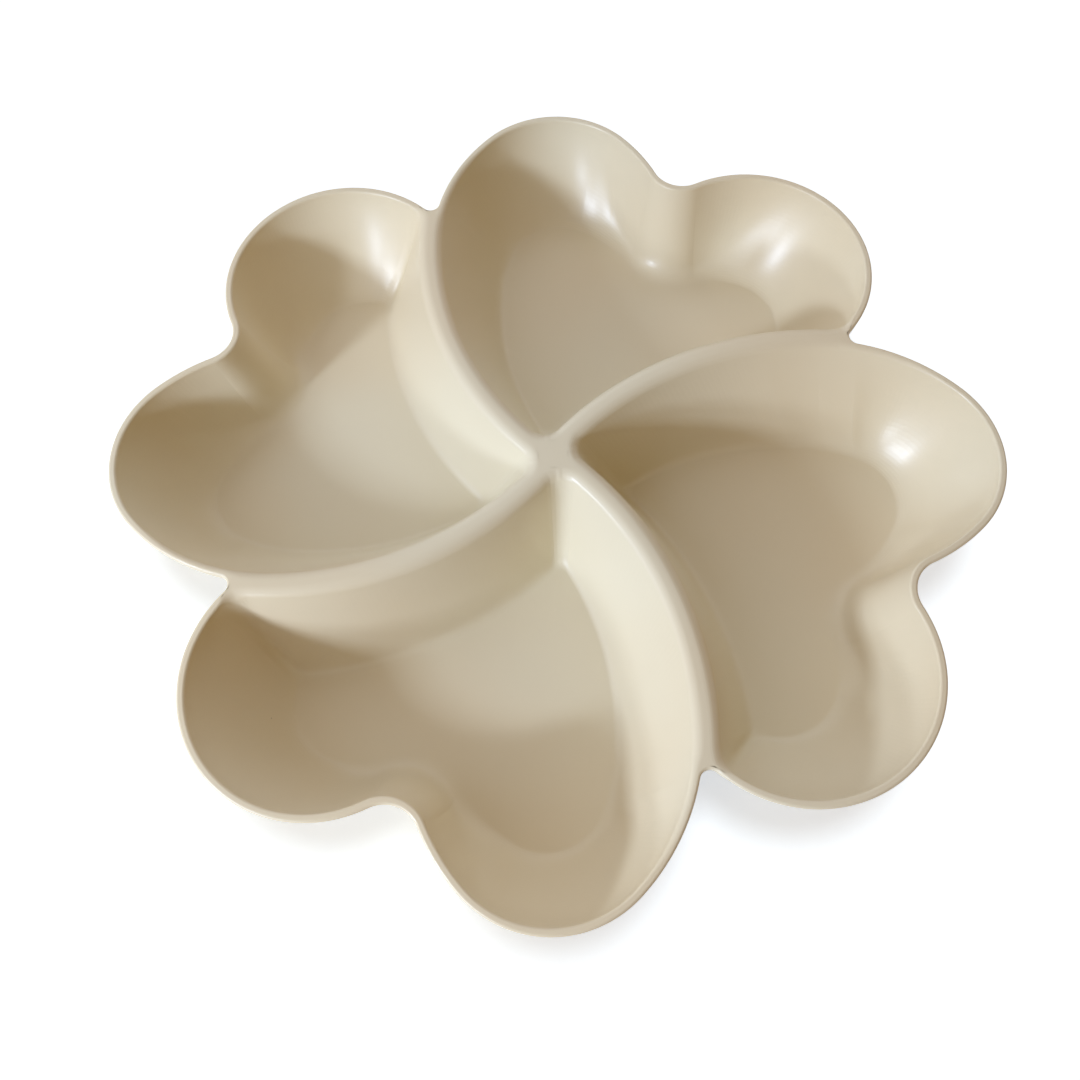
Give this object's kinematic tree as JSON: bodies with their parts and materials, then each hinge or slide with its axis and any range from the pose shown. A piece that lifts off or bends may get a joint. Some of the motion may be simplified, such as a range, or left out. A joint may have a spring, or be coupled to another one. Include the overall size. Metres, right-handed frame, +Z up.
{
  "type": "divided serving bowl",
  "caption": "Low serving bowl with heart-shaped wells set round a flat hub like a clover leaf, parted by curved pinwheel dividing walls, in satin beige plastic.",
  "frame": {"origin": "middle of the bowl on the surface that it stands on, under the hub", "axes": "+Z up, the axis of four-fold rotational symmetry; +Y towards the cleft of the back heart, +X towards the cleft of the right heart"},
  "size_m": [0.2842, 0.2842, 0.039],
  "materials": {
    "moulding": "satin, warm beige, moulded in one piece, slightly mottled"
  },
  "bodies": {
    "root": {"heart_cup_back": "moulding", "heart_cup_left": "moulding", "heart_cup_front": "moulding", "heart_cup_right": "moulding", "hub": "moulding"}
  },
  "joints": []
}
